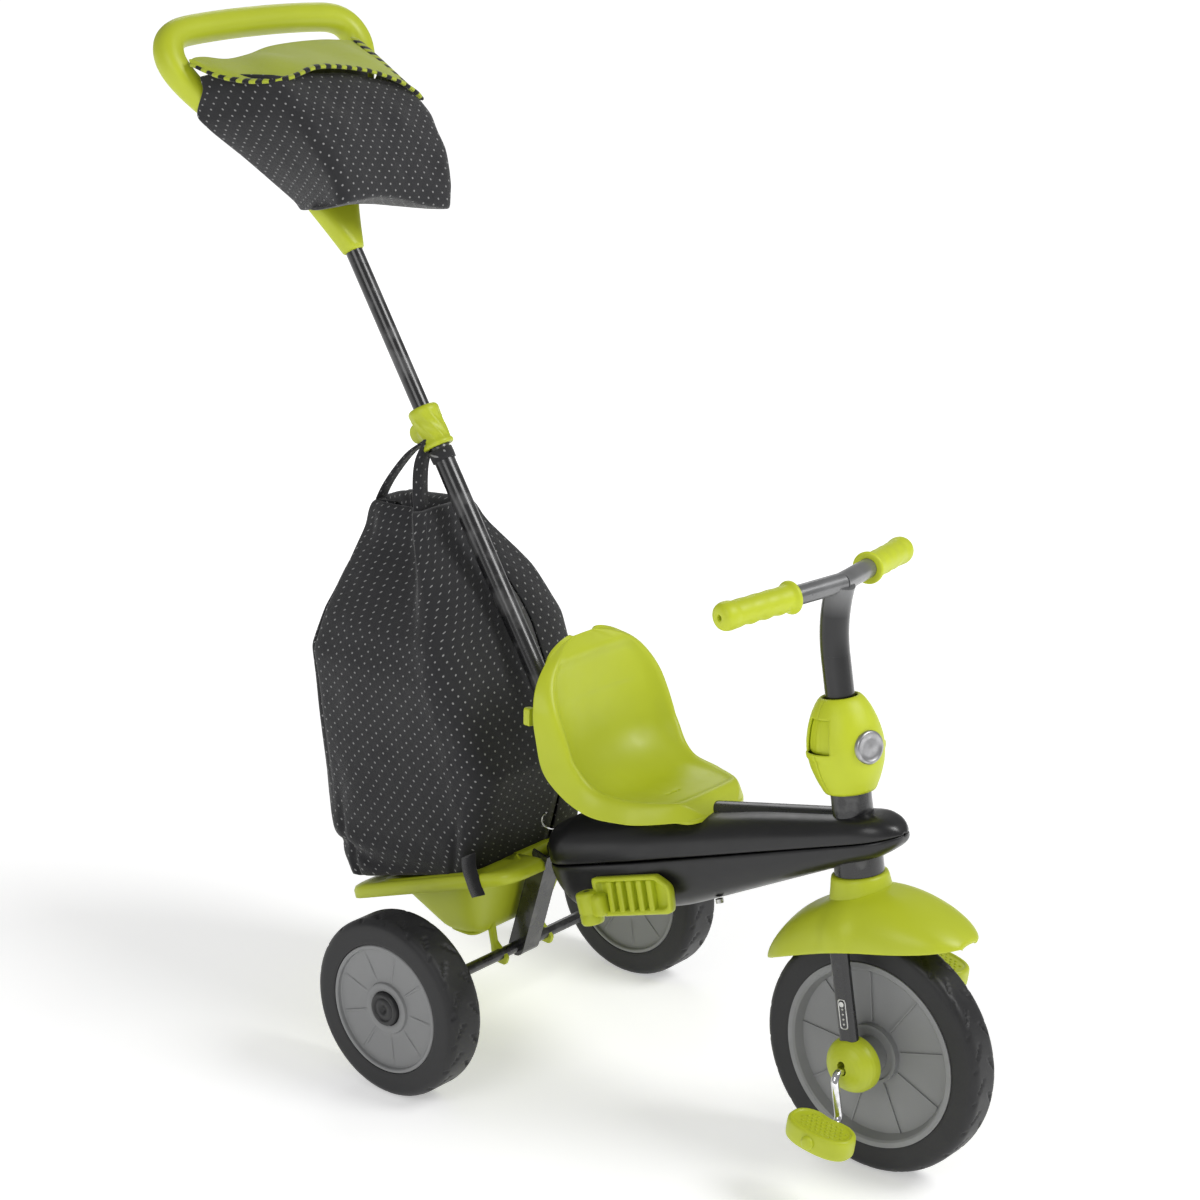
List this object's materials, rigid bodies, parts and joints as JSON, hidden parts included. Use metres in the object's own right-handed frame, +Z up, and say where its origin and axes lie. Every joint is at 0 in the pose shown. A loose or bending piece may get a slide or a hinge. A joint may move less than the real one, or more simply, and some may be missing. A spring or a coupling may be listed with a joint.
{
  "type": "tricycle",
  "caption": "Child's push-along tricycle with a telescopic parent handle, bucket seat, folding footrests, rear basket, storage bag and a handle pouch.",
  "frame": {"origin": "on the ground, under the middle of the object's outline", "axes": "+X forward, +Y to the rider's left, +Z up"},
  "size_m": [0.9682, 0.4322, 1.0276],
  "materials": {
    "black_plastic": "matte",
    "black_web": "matte",
    "body_black": "gloss",
    "chrome": "polished",
    "dotted_cloth": "matte",
    "foam_black": "matte",
    "frame_black": "gloss",
    "grey_plastic": "satin",
    "lime_cloth": "matte",
    "lime_plastic": "satin",
    "zinc_steel": "satin"
  },
  "bodies": {
    "chassis": {"main_frame": "frame_black", "rear_leg": "frame_black", "rear_axle": "frame_black", "axle_washers": "zinc_steel", "body_upper_shell": "body_black", "body_lower_shell": "body_black", "body_screws": "zinc_steel", "seat": "lime_plastic", "seat_bolts": "zinc_steel", "headset_cover_front": "lime_plastic", "headset_cover_rear": "lime_plastic", "headset_badge": "grey_plastic", "upper_headset_bush": "black_plastic", "lower_headset_cup": "frame_black", "footrest_pins": "zinc_steel", "basket": "lime_plastic", "lower_pole": "frame_black", "storage_bag": "dotted_cloth", "bag_hang_strap": "dotted_cloth", "bag_ties": "black_web"},
    "handlebar_group": {"handlebar": "frame_black", "left_grip": "lime_plastic", "right_grip": "lime_plastic"},
    "fork_group": {"fork": "frame_black", "fork_rivets": "zinc_steel", "front_fender": "lime_plastic", "left_hub_cover": "lime_plastic", "right_hub_cover": "lime_plastic"},
    "clutch": {"clutch_ring": "lime_plastic"},
    "front_wheel": {"front_tyre": "foam_black", "left_front_rim": "grey_plastic", "right_front_rim": "grey_plastic", "pedal_crank": "zinc_steel"},
    "left_pedal_block": {"left_pedal": "lime_plastic"},
    "right_pedal_block": {"right_pedal": "lime_plastic"},
    "left_rear_wheel": {"left_rear_tyre": "foam_black", "left_rear_rim_outer": "grey_plastic", "left_rear_rim_inner": "grey_plastic", "left_hub_cap": "black_plastic"},
    "right_rear_wheel": {"right_rear_tyre": "foam_black", "right_rear_rim_outer": "grey_plastic", "right_rear_rim_inner": "grey_plastic", "right_hub_cap": "black_plastic"},
    "left_rest": {"left_footrest": "lime_plastic"},
    "right_rest": {"right_footrest": "lime_plastic"},
    "collar": {"pole_collar": "lime_plastic"},
    "parent_handle": {"upper_pole": "frame_black", "handle_socket": "lime_plastic", "push_handle": "lime_plastic", "pouch": "dotted_cloth", "pouch_flap": "lime_cloth"},
    "lock_knob": {"pole_lock_knob": "black_plastic", "knob_ring": "chrome"}
  },
  "joints": [
    {"name": "fork_steer", "type": "hinge", "parent": "chassis", "child": "fork_group", "pos_m": [0.32975, 0, 0.30651], "axis": [-0.1908, 0, 0.9816], "range_deg": [-45, 45]},
    {"name": "handlebar_steer", "type": "hinge", "parent": "chassis", "child": "handlebar_group", "pos_m": [0.30876, 0, 0.41449], "axis": [-0.1908, 0, 0.9816], "range_deg": [-45, 45]},
    {"name": "clutch_turn", "type": "hinge", "parent": "chassis", "child": "clutch", "pos_m": [0.30685, 0, 0.4243], "axis": [-0.1908, 0, 0.9816], "range_deg": [0, 20]},
    {"name": "front_wheel_spin", "type": "hinge", "parent": "fork_group", "child": "front_wheel", "pos_m": [0.366, 0, 0.12], "axis": [0, 1, 0], "continuous": true},
    {"name": "left_pedal_spin", "type": "hinge", "parent": "front_wheel", "child": "left_pedal_block", "pos_m": [0.35703, 0.105, 0.16614], "axis": [0, 1, 0], "continuous": true},
    {"name": "right_pedal_spin", "type": "hinge", "parent": "front_wheel", "child": "right_pedal_block", "pos_m": [0.37497, -0.105, 0.07386], "axis": [0, 1, 0], "continuous": true},
    {"name": "left_rear_spin", "type": "hinge", "parent": "chassis", "child": "left_rear_wheel", "pos_m": [-0.081, 0.1925, 0.093], "axis": [0, 1, 0], "continuous": true},
    {"name": "right_rear_spin", "type": "hinge", "parent": "chassis", "child": "right_rear_wheel", "pos_m": [-0.081, -0.1925, 0.093], "axis": [0, 1, 0], "continuous": true},
    {"name": "left_footrest_fold", "type": "hinge", "parent": "chassis", "child": "left_rest", "pos_m": [0.05636, 0.062, 0.1955], "axis": [-0.314, 0, 0.9494], "range_deg": [0, 90]},
    {"name": "right_footrest_fold", "type": "hinge", "parent": "chassis", "child": "right_rest", "pos_m": [0.05636, -0.062, 0.1955], "axis": [-0.314, 0, 0.9494], "range_deg": [-90, 0]},
    {"name": "collar_turn", "type": "hinge", "parent": "chassis", "child": "collar", "pos_m": [-0.21453, 0, 0.62006], "axis": [-0.541, 0, 0.841], "range_deg": [0, 60]},
    {"name": "pole_slide", "type": "slide", "parent": "chassis", "child": "parent_handle", "axis": [-0.541, 0, 0.841], "range_m": [-0.15, 0]},
    {"name": "knob_pull", "type": "slide", "parent": "chassis", "child": "lock_knob", "axis": [-0.314, 0, 0.9494], "range_m": [0, 0.008], "stiffness_N_per_m": 400, "springref_m": -0.004}
  ],
  "couplings": [
    {"joint": "handlebar_steer", "follows": "fork_steer", "ratio": 1}
  ]
}
